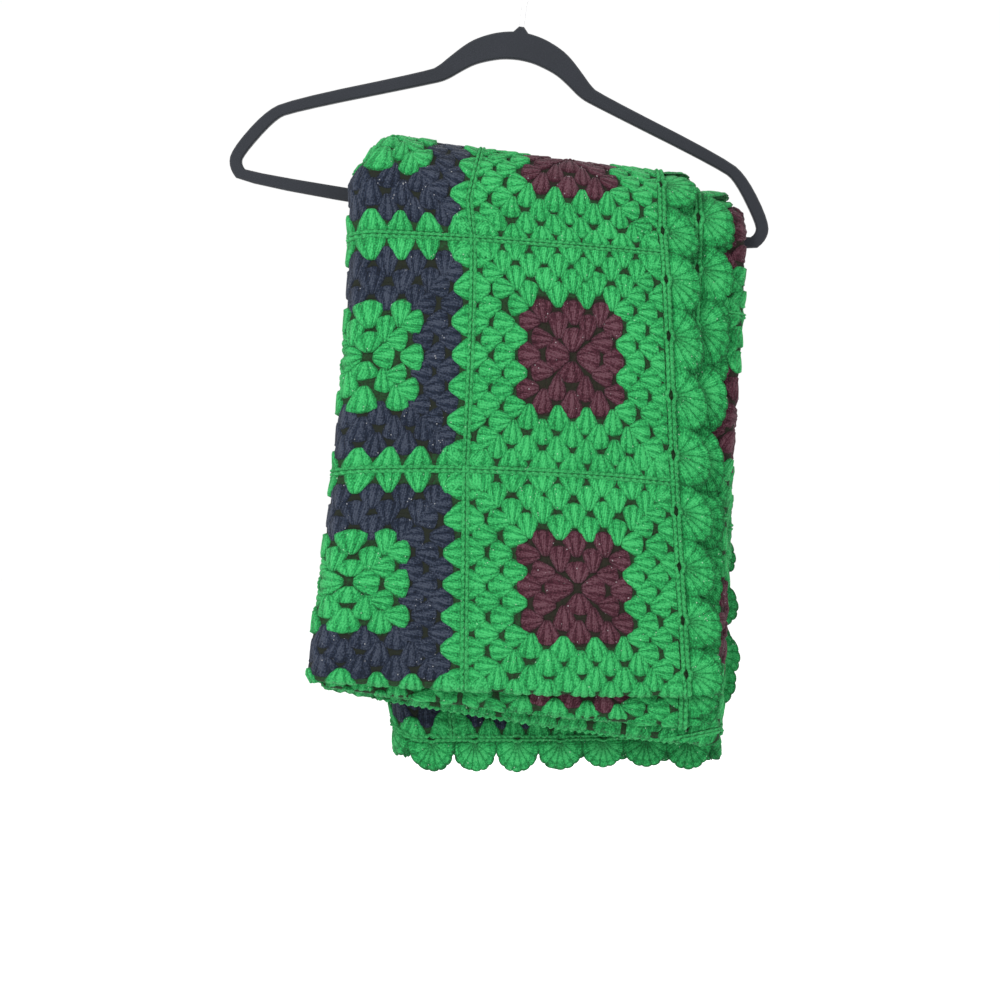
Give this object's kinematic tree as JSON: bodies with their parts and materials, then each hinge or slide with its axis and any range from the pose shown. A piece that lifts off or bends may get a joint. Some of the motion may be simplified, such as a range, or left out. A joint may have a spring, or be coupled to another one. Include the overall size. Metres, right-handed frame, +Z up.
{
  "type": "afghan blanket on a clothes hanger",
  "caption": "Crocheted granny-square afghan with a scalloped edge, folded into layers and hung over the bar of a flat flocked clothes hanger with a wire hook.",
  "frame": {"origin": "inner top of the hanger's hook, where it rests on its rail", "axes": "+X to the right along the hanger as seen from the front, +Y from the blanket's front to its back, +Z up"},
  "size_m": [0.4379, 0.1009, 0.677],
  "materials": {
    "crochet_green": "fuzzy green acrylic yarn, crocheted",
    "crochet_navy": "fuzzy navy acrylic yarn, crocheted",
    "crochet_burgundy": "fuzzy burgundy acrylic yarn, crocheted",
    "flocked_plastic": "flat moulded body with a short black-slate flock",
    "bright_wire": "bent bright wire"
  },
  "bodies": {
    "root": {"afghan": "crochet_green", "hanger": "flocked_plastic", "hook": "bright_wire"}
  },
  "joints": []
}
